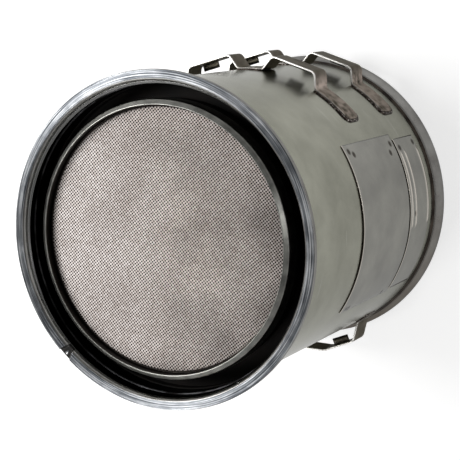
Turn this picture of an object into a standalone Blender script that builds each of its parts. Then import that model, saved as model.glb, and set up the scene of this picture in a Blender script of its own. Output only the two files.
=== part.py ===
"""Diesel particulate filter: a double-walled steel can around a honeycomb filter block.

The can stands on its outlet flange. +Z runs along its axis to the inlet, the origin is
the middle of the outlet flange's end plane, and angles run anticlockwise from +X as one
looks down on the inlet.
"""

import math

import bpy
import bmesh
from mathutils import Vector

MM = 0.001

# Overall
OVERALL_LENGTH = 368.0 * MM
SEGMENTS = 60
SEAT_GAP = 0.3 * MM

# Filter block
BLOCK_RADIUS = 134.4 * MM
FACE_RECESS = 14.0 * MM
CELL_PITCH = 1.796 * MM
MOUTH_CELLS = 11
MOUTH_FILL = 0.5
MOUTH_DEPTH = 4.0 * MM
MOUTH_EDGE_MARGIN = 3.0 * MM

# Mat, inner can and the insulation round it
MAT_THICKNESS = 2.7 * MM
CAN_WALL = 1.5 * MM
INSULATION_THICKNESS = 17.1 * MM

# Retaining rings on the ends of the inner can
RING_SHEET = 1.5 * MM
RING_NOSE_DEPTH = 4.0 * MM
RING_NOSE_ROUND = 5.5 * MM
RING_LIP_CLEARANCE = 0.4 * MM
RING_LIP_OVERLAP = 1.2 * MM
RING_SKIRT_END = 24.0 * MM
# The nose from lip to skirt, as shares of the ring's width and of the nose's depth
RING_NOSE = ((0.0, 0.3), (0.08, 0.08), (0.26, 0.0), (0.66, 0.25), (0.92, 0.6), (1.0, 1.0))

# Outer shell
SHELL_WALL = 1.5 * MM
SHELL_END_DEPTH = 12.0 * MM

# Closing rings between the inner can and the shell
CLOSING_SHEET = 1.5 * MM
CLOSING_PLATE_DEPTH = 42.5 * MM
CLOSING_COLLAR_LENGTH = 8.5 * MM

# Clamp flanges
INLET_FACE_WIDTH = 11.3 * MM
OUTLET_FACE_WIDTH = 6.9 * MM
FLANGE_CREST_SHARE = 0.45
FLANGE_BORE_EDGE_DEPTH = 5.5 * MM
# The rounding from bore to crest, as shares of its run and of its depth
FLANGE_BORE_EDGE = ((0.0, 1.0), (0.12, 0.55), (0.45, 0.18), (1.0, 0.0))
FLANGE_RIM_ROUND = 1.6 * MM
FLANGE_RIM_BACK = 5.5 * MM
FLANGE_BACK_DEPTH = 13.5 * MM
FLANGE_NECK_WALL = 2.2 * MM
FLANGE_NECK_END = 18.0 * MM
FLANGE_WELD_LEG = 3.2 * MM
# The fillet's face, as shares of its height and of its leg
FLANGE_WELD_FACE = ((0.0, 0.0), (1.0, 0.0), (0.45, 0.5), (0.0, 1.0))

# Locating notch in the inlet flange
NOTCH_ANGLE = -126.5
NOTCH_BORE_WIDTH = 6.5 * MM
NOTCH_RIM_WIDTH = 16.0 * MM
NOTCH_DEPTH = 2.5 * MM
NOTCH_HOLE_INSET = 2.5 * MM
NOTCH_HOLE_WIDTH = 2.8 * MM
NOTCH_HOLE_LEAN = 34.0

# Straps: bent sheet standing off the shell in flat-topped humps
STRAP_SHEET = 2.0 * MM
STRAP_WIDTH = 30.0 * MM
HUMP_TOP_HEIGHT = 16.1 * MM
HUMP_HALF_TOP = 25.5 * MM
HUMP_HALF_BASE = 32.0 * MM
BEND_RADIUS = 4.0 * MM
UPPER_HUMP_ANGLES = (111.7, 77.3)
UPPER_FOOT_ANGLES = (141.0, 48.0)
OUTLET_STRAP_HEIGHT = 57.0 * MM
STRAPS_APART = 98.0 * MM
LOWER_CORNER_ANGLES = (-50.8, -56.5, -69.1, -82.7, -93.0)
LOWER_CORNER_HEIGHTS = (SEAT_GAP, 17.2 * MM, 17.5 * MM, 9.9 * MM, SEAT_GAP)
LOWER_FOOT_ANGLES = (-46.5, -104.0)
FOOT_TIP_ROUND = 8.0 * MM
FOOT_TIP_SHARES = (0.3, 1.0)
TAB_WIDTH = 20.0 * MM
TAB_DROP = 8.5 * MM
TAB_OFFSETS = (13.0 * MM, 1.0 * MM)
LOWER_TAB_ANGLE = -62.8
LOWER_TAB_OFFSET = -8.0 * MM

# Weld beads round the feet
BEAD_WIDTH = 5.5 * MM
BEAD_HEIGHT = 2.4 * MM
BEAD_WRAP = 8.0 * MM
# The bead's section, as shares of its width and height from the foot's edge outward
BEAD_SECTION = ((0.05, 0.0), (0.05, 0.9), (0.4, 1.0), (0.8, 0.5), (1.0, 0.0))

# Plates on the shell
PLATE_SHEET = 1.0 * MM
PLATE_BULGE = 1.5 * MM
COVER_ANGLES = (-28.0, 38.5)
COVER_LENGTH = 128.0 * MM
PLATES_APART = 4.0 * MM
MARKING_ANGLES = (-27.0, 36.0)
MARKING_LENGTH = 56.0 * MM
MARKING_BOTTOM = 36.0 * MM
MARKING_BEAD_WIDTH = 2.4 * MM
MARKING_BEAD_HEIGHT = 0.7 * MM
MARKING_BEAD_INSETS = (5.0 * MM, 16.0 * MM, 52.0 * MM)

# Long seam of the shell
SEAM_ANGLE = 200.0
SEAM_WIDTH = 5.0 * MM
SEAM_HEIGHT = 1.2 * MM
SEAM_END_DEPTH = 26.0 * MM
# The seam's section, as shares of its half width and height
SEAM_SECTION = ((-1.0, 0.0), (-0.6, 0.8), (0.0, 1.0), (0.6, 0.8), (1.0, 0.0), (0.0, 0.0))

# Arc step of everything that follows the shell
ARC_STEP = 3.5

# Sizes that follow from the driving ones
MAT_INNER = BLOCK_RADIUS + SEAT_GAP
MAT_OUTER = MAT_INNER + MAT_THICKNESS
CAN_INNER = MAT_OUTER + SEAT_GAP
CAN_OUTER = CAN_INNER + CAN_WALL
ON_CAN = CAN_OUTER + SEAT_GAP
RING_INNER = BLOCK_RADIUS + RING_LIP_CLEARANCE
RING_OUTER = ON_CAN + RING_SHEET
RING_LIP_BACK = FACE_RECESS + RING_LIP_OVERLAP
RING_FOLD_DEPTH = RING_NOSE_DEPTH + RING_NOSE_ROUND - RING_SHEET
IN_SHELL = ON_CAN + INSULATION_THICKNESS
SHELL_INNER = IN_SHELL + SEAT_GAP
SHELL_RADIUS = SHELL_INNER + SHELL_WALL
ON_SHELL = SHELL_RADIUS + SEAT_GAP
INLET_RIM_RADIUS = ON_SHELL + INLET_FACE_WIDTH
OUTLET_RIM_RADIUS = ON_SHELL + OUTLET_FACE_WIDTH
CLOSING_COLLAR_START = CLOSING_PLATE_DEPTH - CLOSING_COLLAR_LENGTH
CLOSING_PLATE_BACK = CLOSING_PLATE_DEPTH + CLOSING_SHEET
HUMP_INNER_TOP = SHELL_RADIUS + HUMP_TOP_HEIGHT - STRAP_SHEET
INLET_STRAP_HEIGHT = OUTLET_STRAP_HEIGHT + STRAPS_APART
MARKING_TOP = MARKING_BOTTOM + MARKING_LENGTH
COVER_BOTTOM = MARKING_TOP + PLATES_APART
COVER_TOP = COVER_BOTTOM + COVER_LENGTH


def clear_scene():
    for old in list(bpy.data.objects):
        bpy.data.objects.remove(old, do_unlink=True)


def finish(name, colour, metallic, roughness):
    """A Principled material with one colour, for one sub-part."""
    material = bpy.data.materials.new(name)
    material.use_nodes = True
    shader = material.node_tree.nodes["Principled BSDF"]
    shader.inputs["Base Color"].default_value = (*colour, 1.0)
    shader.inputs["Metallic"].default_value = metallic
    shader.inputs["Roughness"].default_value = roughness
    return material


def place(name, bm, material):
    """Turns a bmesh into a named object with its faces pointing out."""
    bmesh.ops.recalc_face_normals(bm, faces=bm.faces)
    mesh = bpy.data.meshes.new(name)
    bm.to_mesh(mesh)
    bm.free()
    mesh.materials.append(material)
    thing = bpy.data.objects.new(name, mesh)
    bpy.context.scene.collection.objects.link(thing)
    return thing


def polar(radius, degrees, z):
    turn = math.radians(degrees)
    return Vector((radius * math.cos(turn), radius * math.sin(turn), z))


def inlet_z(depth):
    """Height of a point this far behind the inlet flange's crest."""
    return OVERALL_LENGTH - depth


def outlet_z(depth):
    return depth


def skin(bm, rows, closed_along):
    """Joins rows of points into a skin, each row being a closed section."""
    grid = [[bm.verts.new(point) for point in row] for row in rows]
    count = len(grid)
    for i in range(count if closed_along else count - 1):
        near, far = grid[i], grid[(i + 1) % count]
        for j in range(len(near)):
            k = (j + 1) % len(near)
            bm.faces.new((near[j], near[k], far[k], far[j]))
    if not closed_along:
        bm.faces.new(grid[0])
        bm.faces.new(grid[-1])


def turned(name, section, material):
    """A closed (radius, z) section turned about the can's axis."""
    bm = bmesh.new()
    step = 360.0 / SEGMENTS
    rows = [[polar(r, i * step, z) for r, z in section] for i in range(SEGMENTS)]
    skin(bm, rows, True)
    return place(name, bm, material)


def tube(name, inner, outer, bottom, top, material):
    section = [(inner, bottom), (outer, bottom), (outer, top), (inner, top)]
    return turned(name, section, material)


def cut(thing, cutter):
    """Takes the cutter's shape out of the thing, with the cutter kept as a hidden guide."""
    cutter.hide_render = True
    cutter.display_type = "WIRE"
    boolean = thing.modifiers.new("cut_" + cutter.name, "BOOLEAN")
    boolean.operation = "DIFFERENCE"
    boolean.solver = "EXACT"
    boolean.object = cutter


def join(thing, piece):
    """Joins the piece to the thing in one closed body, and keeps the piece as a hidden guide."""
    piece.hide_render = True
    piece.display_type = "WIRE"
    boolean = thing.modifiers.new("join_" + piece.name, "BOOLEAN")
    boolean.operation = "UNION"
    boolean.solver = "EXACT"
    boolean.object = piece


def box_into(bm, centre, along, across, up):
    """A box from its centre and its three half-edge vectors."""
    corners = []
    for sx, sy in ((-1, -1), (1, -1), (1, 1), (-1, 1)):
        for sz in (-1, 1):
            corners.append(bm.verts.new(centre + along * sx + across * sy + up * sz))
    low, high = corners[0::2], corners[1::2]
    bm.faces.new(low[::-1])
    bm.faces.new(high)
    for i in range(4):
        j = (i + 1) % 4
        bm.faces.new((low[i], low[j], high[j], high[i]))


def filter_block(material):
    """The ceramic block, with every eleventh channel mouth of each face sunk in it."""
    bottom, top = outlet_z(FACE_RECESS), inlet_z(FACE_RECESS)
    bm = bmesh.new()
    step = 360.0 / SEGMENTS
    rows = [[polar(BLOCK_RADIUS, i * step, z) for i in range(SEGMENTS)] for z in (bottom, top)]
    skin(bm, rows, False)
    block = place("filter_block", bm, material)

    pitch = CELL_PITCH * MOUTH_CELLS
    half = 0.5 * pitch * MOUTH_FILL
    reach = int(BLOCK_RADIUS / pitch) + 1
    cutters = bmesh.new()
    for i in range(-reach, reach + 1):
        for j in range(-reach, reach + 1):
            corner = math.hypot(abs(i) * pitch + half, abs(j) * pitch + half)
            if (i + j) % 2 or corner > BLOCK_RADIUS - MOUTH_EDGE_MARGIN:
                continue
            for z in (bottom, top):
                centre = Vector((i * pitch, j * pitch, z))
                box_into(cutters, centre, Vector((half, 0, 0)), Vector((0, half, 0)),
                         Vector((0, 0, MOUTH_DEPTH)))
    cut(block, place("channel_mouths", cutters, material))


def retaining_ring(name, z_of, material):
    """A folded cap over the end of the inner can: lip inside, rounded nose, skirt outside."""
    width = RING_OUTER - RING_INNER
    section = [(RING_INNER, RING_LIP_BACK)]
    for across, back in RING_NOSE:
        section.append((RING_INNER + across * width, RING_NOSE_DEPTH + back * RING_NOSE_ROUND))
    section.extend([
        (RING_OUTER, RING_SKIRT_END),
        (ON_CAN, RING_SKIRT_END),
        (ON_CAN, RING_FOLD_DEPTH),
        (RING_INNER + RING_SHEET, RING_FOLD_DEPTH),
        (RING_INNER + RING_SHEET, RING_LIP_BACK),
    ])
    turned(name, [(r, z_of(depth)) for r, depth in section], material)


def inner_can(material):
    """The tube that the block and its mat are pressed into; its ends stand in the rings."""
    end = RING_FOLD_DEPTH + SEAT_GAP
    tube("inner_can", CAN_INNER, CAN_OUTER, outlet_z(end), inlet_z(end), material)


def support_mat(material):
    end = RING_LIP_BACK + SEAT_GAP
    tube("support_mat", MAT_INNER, MAT_OUTER, outlet_z(end), inlet_z(end), material)


def closing_ring(name, z_of, material):
    """A flat ring with a collar, which closes the space between the two walls."""
    section = [
        (IN_SHELL, CLOSING_COLLAR_START),
        (IN_SHELL, CLOSING_PLATE_BACK),
        (ON_CAN, CLOSING_PLATE_BACK),
        (ON_CAN, CLOSING_PLATE_DEPTH),
        (IN_SHELL - CLOSING_SHEET, CLOSING_PLATE_DEPTH),
        (IN_SHELL - CLOSING_SHEET, CLOSING_COLLAR_START),
    ]
    turned(name, [(r, z_of(depth)) for r, depth in section], material)


def insulation(material):
    end = CLOSING_PLATE_BACK + SEAT_GAP
    tube("insulation_blanket", ON_CAN, IN_SHELL, outlet_z(end), inlet_z(end), material)


def flange(name, z_of, rim, material):
    """A clamp flange: rounded bore edge, flat face, rim and a sloped back to a short neck."""
    run = FLANGE_CREST_SHARE * (rim - ON_SHELL)
    edge = FLANGE_RIM_ROUND
    neck = ON_SHELL + FLANGE_NECK_WALL
    section = [(ON_SHELL, FLANGE_NECK_END)]
    for across, back in FLANGE_BORE_EDGE:
        section.append((ON_SHELL + across * run, back * FLANGE_BORE_EDGE_DEPTH))
    section.extend([
        (rim - edge, 0.0),
        (rim - 0.3 * edge, 0.3 * edge),
        (rim, edge),
        (rim, FLANGE_RIM_BACK),
        (rim - 0.5 * edge, FLANGE_RIM_BACK + 0.5 * edge),
        (neck + 0.5 * edge, FLANGE_BACK_DEPTH),
        (neck, FLANGE_BACK_DEPTH + edge),
        (neck, FLANGE_NECK_END),
    ])
    return turned(name, [(r, z_of(depth)) for r, depth in section], material)


def notch_inlet_flange(ring, material):
    """A shallow notch that widens towards the rim, with a small slanted hole in its floor."""
    out = polar(1.0, NOTCH_ANGLE, 0.0)
    side = polar(1.0, NOTCH_ANGLE + 90.0, 0.0)
    up = Vector((0, 0, 1))
    face = INLET_FACE_WIDTH
    flare = (NOTCH_RIM_WIDTH - NOTCH_BORE_WIDTH) / face
    plan = []
    for radius in (ON_SHELL - 0.5 * face, INLET_RIM_RADIUS + 0.5 * face):
        half = 0.5 * (NOTCH_BORE_WIDTH + flare * (radius - ON_SHELL))
        plan.append((out * radius, side * half))
    (near, near_half), (far, far_half) = plan
    rows = []
    for z in (inlet_z(NOTCH_DEPTH), inlet_z(-NOTCH_DEPTH)):
        corners = (near - near_half, far - far_half, far + far_half, near + near_half)
        rows.append([corner + up * z for corner in corners])
    bm = bmesh.new()
    skin(bm, rows, False)
    cut(ring, place("notch", bm, material))

    lean = math.radians(NOTCH_HOLE_LEAN)
    along = out * math.sin(lean) - up * math.cos(lean)
    across = out * math.cos(lean) + up * math.sin(lean)
    mouth = out * (INLET_RIM_RADIUS - NOTCH_HOLE_INSET) + up * inlet_z(NOTCH_DEPTH)
    bm = bmesh.new()
    box_into(bm, mouth, along * face, across * (0.5 * NOTCH_HOLE_WIDTH),
             side * (0.5 * NOTCH_HOLE_WIDTH))
    cut(ring, place("notch_hole", bm, material))


def flange_weld(name, z_of, material):
    """The fillet weld between the flange's neck and the shell."""
    start = FLANGE_NECK_END + SEAT_GAP
    section = []
    for height, back in FLANGE_WELD_FACE:
        radius = ON_SHELL + height * FLANGE_NECK_WALL
        section.append((radius, z_of(start + back * FLANGE_WELD_LEG)))
    turned(name, section, material)


def arc_angles(start, end):
    count = max(1, math.ceil(abs(end - start) / ARC_STEP))
    return [start + (end - start) * i / count for i in range(count + 1)]


def rounded(points, radius):
    """Replaces each inner corner of a flat path by a short three-point bend."""
    path = [points[0]]
    for before, corner, after in zip(points, points[1:], points[2:]):
        back, ahead = (before - corner), (after - corner)
        reach = min(radius, 0.45 * back.length, 0.45 * ahead.length)
        first = corner + back.normalized() * reach
        last = corner + ahead.normalized() * reach
        path.extend([first, (first + last + 2.0 * corner) / 4.0, last])
    path.append(points[-1])
    return path


def hump_points(angle):
    """Four corners of one flat-topped hump's inner side, from its left root to its right."""
    out = polar(1.0, angle, 0.0)
    left = polar(1.0, angle + 90.0, 0.0)
    top, top_side = out * HUMP_INNER_TOP, left * HUMP_HALF_TOP
    base = out * math.sqrt(ON_SHELL ** 2 - HUMP_HALF_BASE ** 2)
    base_side = left * HUMP_HALF_BASE
    return [base + base_side, top + top_side, top - top_side, base - base_side]


def foot_angles(start, tip):
    """Angles from a foot's root to its tip, closer together where the tip is round."""
    toward_root = math.copysign(1.0, start - tip)
    shares = [share * FOOT_TIP_ROUND / ON_SHELL for share in sorted(FOOT_TIP_SHARES, reverse=True)]
    round_angles = [tip + toward_root * math.degrees(turn) for turn in shares]
    return arc_angles(start, round_angles[0]) + round_angles[1:] + [tip]


def foot_half_width(to_tip):
    """Half the sheet's width this far from a foot's tip, with the tip's corners rounded."""
    into_round = max(0.0, FOOT_TIP_ROUND - to_tip)
    corner = FOOT_TIP_ROUND - math.sqrt(FOOT_TIP_ROUND ** 2 - into_round ** 2)
    return 0.5 * STRAP_WIDTH - corner


def angle_of(point):
    return math.degrees(math.atan2(point.y, point.x))


def strap_path(humps, feet):
    """Inner side of a strap: first foot, humps with arcs between them, last foot."""
    arcs = [foot_angles(angle_of(humps[0][0]), feet[0])[::-1]]
    for hump, following in zip(humps, humps[1:]):
        arcs.append(arc_angles(angle_of(hump[-1]), angle_of(following[0])))
    arcs.append(foot_angles(angle_of(humps[-1][-1]), feet[1]))
    arcs = [[polar(ON_SHELL, angle, 0.0) for angle in arc] for arc in arcs]
    path = arcs[0][:-1]
    for hump, arc_before, arc_after in zip(humps, arcs, arcs[1:]):
        path.extend(rounded([arc_before[-2]] + hump + [arc_after[1]], BEND_RADIUS)[1:-1])
        path.extend(arc_after[1:-1])
    return path + [arcs[-1][-1]]


def strap(name, humps, feet, tabs, middle_z, material):
    """Sheet of one thickness carried along the path, with feet that end in a round tip.

    A tab hangs from the outlet-side edge of each hump; tabs lists (angle, offset, inner top).
    """
    path = strap_path(humps, feet)
    steps = [(b - a) for a, b in zip(path, path[1:])]
    reached = [0.0]
    for step in steps:
        reached.append(reached[-1] + step.length)
    rows = []
    for i, point in enumerate(path):
        before = steps[max(i - 1, 0)].normalized()
        after = steps[min(i, len(steps) - 1)].normalized()
        along = (before + after).normalized()
        outward = along.cross(Vector((0, 0, 1)))
        if outward.dot(point) < 0.0:
            outward.negate()
        outer = point + outward * (STRAP_SHEET / along.dot(before))
        half = foot_half_width(min(reached[i], reached[-1] - reached[i]))
        low, high = Vector((0, 0, middle_z - half)), Vector((0, 0, middle_z + half))
        rows.append([point + low, outer + low, outer + high, point + high])
    bm = bmesh.new()
    skin(bm, rows, False)
    body = place(name, bm, material)

    rear_z = middle_z - 0.5 * (STRAP_WIDTH - STRAP_SHEET)
    for angle, offset, inner_top in tabs:
        out = polar(1.0, angle, 0.0)
        left = polar(1.0, angle + 90.0, 0.0)
        middle = inner_top + 0.5 * (STRAP_SHEET - TAB_DROP)
        centre = out * middle + left * offset + Vector((0, 0, rear_z))
        bm = bmesh.new()
        box_into(bm, centre, left * (0.5 * TAB_WIDTH), out * (0.5 * TAB_DROP),
                 Vector((0, 0, 0.5 * STRAP_SHEET)))
        join(body, place("%s_tab_%d" % (name, round(angle)), bm, material))


def bead(name, edge, material):
    """A weld bead along an edge given as (angle, z) points, built to the edge's left side."""
    bm = bmesh.new()
    flat = [Vector((math.radians(a) * ON_SHELL, z)) for a, z in edge]
    rows = []
    for i, point in enumerate(flat):
        before, after = flat[max(i - 1, 0)], flat[min(i + 1, len(flat) - 1)]
        along = (after - before).normalized()
        side = Vector((-along.y, along.x))
        row = []
        for away, height in BEAD_SECTION:
            spot = point + side * (away * BEAD_WIDTH)
            radius = ON_SHELL + height * BEAD_HEIGHT
            row.append(polar(radius, math.degrees(spot.x / ON_SHELL), spot.y))
        rows.append(row)
    skin(bm, rows, False)
    place(name, bm, material)


def foot_edge(root, tip, middle_z):
    """The welded edge of a foot: its inlet side from the root, then round the tip."""
    edge = []
    wrap = []
    for angle in foot_angles(root, tip):
        to_tip = ON_SHELL * math.radians(abs(tip - angle))
        half = foot_half_width(to_tip)
        edge.append((angle, middle_z + half))
        if to_tip <= BEAD_WRAP:
            wrap.insert(0, (angle, middle_z - half))
    return edge + wrap


def plate(name, angles, bottom, top, beads, material):
    """A thin plate bent to the shell, standing off it a little in the middle."""
    bm = bmesh.new()
    levels = [(top, 0.0)]
    for inset in beads:
        middle = top - inset
        half = 0.5 * MARKING_BEAD_WIDTH
        levels.extend([(middle + half, 0.0), (middle, MARKING_BEAD_HEIGHT), (middle - half, 0.0)])
    levels.append((bottom, 0.0))
    rows = []
    span = arc_angles(angles[1], angles[0])
    for i, angle in enumerate(span):
        lift = PLATE_BULGE * math.sin(math.pi * i / (len(span) - 1))
        inner = ON_SHELL + lift
        outside = [polar(inner + PLATE_SHEET + rise, angle, z) for z, rise in levels]
        inside = [polar(inner, angle, z) for z, _ in reversed(levels)]
        rows.append(outside + inside)
    skin(bm, rows, False)
    place(name, bm, material)


def shell_seam(material):
    """The weld along the rolled shell, on the side away from the brackets."""
    half = math.degrees(0.5 * SEAM_WIDTH / ON_SHELL)
    rows = []
    for z in (outlet_z(SEAM_END_DEPTH), inlet_z(SEAM_END_DEPTH)):
        rows.append([polar(ON_SHELL + height * SEAM_HEIGHT, SEAM_ANGLE + across * half, z)
                     for across, height in SEAM_SECTION])
    bm = bmesh.new()
    skin(bm, rows, False)
    place("shell_seam_weld", bm, material)


def build():
    clear_scene()

    ceramic = finish("pale_ceramic", (0.47, 0.42, 0.38), 0.0, 0.9)
    satin = finish("satin_stainless", (0.33, 0.33, 0.31), 1.0, 0.35)
    machined = finish("turned_steel", (0.30, 0.31, 0.33), 1.0, 0.3)
    sooty = finish("sooty_steel", (0.01, 0.01, 0.01), 0.6, 0.6)
    tinted = finish("heat_tinted_weld", (0.06, 0.05, 0.045), 0.9, 0.5)
    strap_steel = finish("strap_steel", (0.22, 0.2, 0.18), 1.0, 0.45)
    glossy = finish("glossy_stainless", (0.4, 0.4, 0.39), 1.0, 0.15)
    fibre = finish("ceramic_fibre", (0.6, 0.58, 0.52), 0.0, 1.0)

    filter_block(ceramic)
    support_mat(fibre)
    inner_can(sooty)
    insulation(fibre)

    shell_ends = (outlet_z(SHELL_END_DEPTH), inlet_z(SHELL_END_DEPTH))
    tube("outer_shell", SHELL_INNER, SHELL_RADIUS, *shell_ends, satin)
    shell_seam(tinted)

    ends = (("inlet", inlet_z, INLET_RIM_RADIUS), ("outlet", outlet_z, OUTLET_RIM_RADIUS))
    for end, z_of, rim in ends:
        retaining_ring(end + "_retaining_ring", z_of, machined)
        closing_ring(end + "_closing_ring", z_of, sooty)
        ring = flange(end + "_flange", z_of, rim, machined)
        if end == "inlet":
            notch_inlet_flange(ring, machined)
        flange_weld(end + "_flange_weld", z_of, tinted)

    upper = [hump_points(angle) for angle in UPPER_HUMP_ANGLES]
    tabs = [(angle, offset, HUMP_INNER_TOP)
            for angle, offset in zip(UPPER_HUMP_ANGLES, TAB_OFFSETS)]
    for end, middle in (("inlet", INLET_STRAP_HEIGHT), ("outlet", OUTLET_STRAP_HEIGHT)):
        strap(end + "_bracket_strap", upper, UPPER_FOOT_ANGLES, tabs, middle, strap_steel)
        left_edge = foot_edge(angle_of(upper[0][0]), UPPER_FOOT_ANGLES[0], middle)
        right_edge = foot_edge(angle_of(upper[-1][-1]), UPPER_FOOT_ANGLES[1], middle)
        valley = arc_angles(angle_of(upper[1][0]), angle_of(upper[0][-1]))
        bead(end + "_strap_weld_left", left_edge, tinted)
        bead(end + "_strap_weld_right", right_edge[::-1], tinted)
        bead(end + "_strap_weld_middle",
             [(angle, middle + 0.5 * STRAP_WIDTH) for angle in valley], tinted)

    middle = OUTLET_STRAP_HEIGHT
    lower = [polar(SHELL_RADIUS + height, angle, 0.0)
             for angle, height in zip(LOWER_CORNER_ANGLES, LOWER_CORNER_HEIGHTS)]
    lower_top = lower[1].dot(polar(1.0, LOWER_TAB_ANGLE, 0.0))
    lower_tab = (LOWER_TAB_ANGLE, LOWER_TAB_OFFSET, lower_top)
    strap("lower_bracket", [lower], LOWER_FOOT_ANGLES, [lower_tab], middle, strap_steel)
    upper_edge = foot_edge(LOWER_CORNER_ANGLES[0], LOWER_FOOT_ANGLES[0], middle)
    lower_edge = foot_edge(LOWER_CORNER_ANGLES[-1], LOWER_FOOT_ANGLES[1], middle)
    bead("lower_bracket_weld_upper", upper_edge, tinted)
    bead("lower_bracket_weld_lower", lower_edge[::-1], tinted)

    plate("cover_plate", COVER_ANGLES, COVER_BOTTOM, COVER_TOP, (), glossy)
    plate("marking_plate", MARKING_ANGLES, MARKING_BOTTOM, MARKING_TOP, MARKING_BEAD_INSETS, glossy)


build()
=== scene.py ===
"""Looks of a diesel particulate filter: a ceramic honeycomb block in a double-walled steel can.

The can stands on its outlet flange with its axis along +Z and the inlet at the top. Angles
run anticlockwise from +X as one looks down on the inlet, and all sizes are in metres.
"""

import math

import bmesh
import bpy
import numpy as np
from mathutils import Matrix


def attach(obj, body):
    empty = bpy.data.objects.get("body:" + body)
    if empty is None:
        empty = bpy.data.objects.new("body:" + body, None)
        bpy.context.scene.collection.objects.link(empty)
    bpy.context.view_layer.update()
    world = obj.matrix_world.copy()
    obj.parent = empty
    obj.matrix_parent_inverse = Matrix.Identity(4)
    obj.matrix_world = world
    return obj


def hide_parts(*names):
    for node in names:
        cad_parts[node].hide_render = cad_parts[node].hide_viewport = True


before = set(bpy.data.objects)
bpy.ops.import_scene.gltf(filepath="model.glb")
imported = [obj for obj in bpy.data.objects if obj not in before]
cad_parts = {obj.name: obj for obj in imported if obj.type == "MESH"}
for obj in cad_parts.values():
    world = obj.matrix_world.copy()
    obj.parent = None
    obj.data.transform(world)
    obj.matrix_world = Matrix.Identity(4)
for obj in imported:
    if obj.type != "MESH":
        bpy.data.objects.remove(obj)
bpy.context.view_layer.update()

# Filter block. A cylinder of cordierite ceramic, extruded with square channels and plugged
# at alternate ends, so that each face is a checkerboard of pale plugs and dark mouths.
# Every open channel is a real pit, and the few cells cut by the round edge are filled.
CELL_PITCH = 0.001796
CELL_WALL = 0.0002
PIT_DEPTH = 0.006
BLOCK_RADIUS = 0.1344
BLOCK_FACES = {"inlet": (0.354, 1), "outlet": (0.014, -1)}
BLOCK_MIDDLE = 0.184
EDGE_SOOT_AND_SHADE_RADII = (0.1316, 0.1330)


def hex_colour(code):
    """An sRGB hex colour as linear RGBA: c / 12.92 to 0.04045, else ((c + 0.055) / 1.055)^2.4."""
    srgb = np.array([int(code[i:i + 2], 16) for i in (0, 2, 4)]) / 255
    linear = np.where(srgb <= 0.04045, srgb / 12.92, ((srgb + 0.055) / 1.055) ** 2.4)
    return (*linear.tolist(), 1.0)


def add_node(tree, kind, inputs, output=None, stops=(), **settings):
    """Adds a shader node and gives its output: the one named, or else the first one in use.

    Among the inputs, a socket is linked, a hex colour is turned to linear, and any other value
    is set as it is. Stops are the (position, hex colour) pairs of a colour ramp.
    """
    node = tree.nodes.new(kind)
    for key, value in settings.items():
        setattr(node, key, value)
    for key, value in inputs.items():
        if isinstance(value, bpy.types.NodeSocket):
            tree.links.new(value, node.inputs[key])
        else:
            node.inputs[key].default_value = hex_colour(value) if isinstance(value, str) else value
    for i, (position, code) in enumerate(stops):
        ramp = node.color_ramp.elements
        stop = ramp[i] if i < 2 else ramp.new(position)
        stop.position, stop.color = position, hex_colour(code)
    return node.outputs[output] if output else next(one for one in node.outputs if one.enabled)


def start_finish(name, colour, roughness, metallic):
    """A new material, its nodes, its shader's inputs and the socket with the object coordinates."""
    finish = bpy.data.materials.new(name)
    finish.use_nodes = True
    tree = finish.node_tree
    shader = tree.nodes["Principled BSDF"].inputs
    shader["Base Color"].default_value = hex_colour(colour)
    shader["Roughness"].default_value = roughness
    shader["Metallic"].default_value = metallic
    return finish, tree, shader, add_node(tree, "ShaderNodeTexCoord", {}, "Object")


def axis_distance(tree, place):
    """How far the surface is from the can's axis: the length of (x, y, 0)."""
    flat = add_node(tree, "ShaderNodeVectorMath", {0: place, 1: (1.0, 1.0, 0.0)},
                    operation="MULTIPLY")
    return add_node(tree, "ShaderNodeVectorMath", {0: flat}, "Value", operation="LENGTH")


def make_piece(name, points, faces, finishes, finish_numbers=None, smooth=True):
    """A mesh object at the origin; its faces are rows of point numbers and are turned outwards."""
    mesh = bpy.data.meshes.new(name)
    mesh.from_pydata(points.tolist(), [], [tuple(face) for face in faces])
    for finish in finishes:
        mesh.materials.append(finish)
    if finish_numbers is not None:
        mesh.polygons.foreach_set("material_index", finish_numbers)
    mesh.polygons.foreach_set("use_smooth", [smooth] * len(mesh.polygons))
    turned = bmesh.new()
    turned.from_mesh(mesh)
    bmesh.ops.recalc_face_normals(turned, faces=turned.faces)
    turned.to_mesh(mesh)
    turned.free()
    piece = bpy.data.objects.new(name, mesh)
    bpy.context.scene.collection.objects.link(piece)
    return piece


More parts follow.
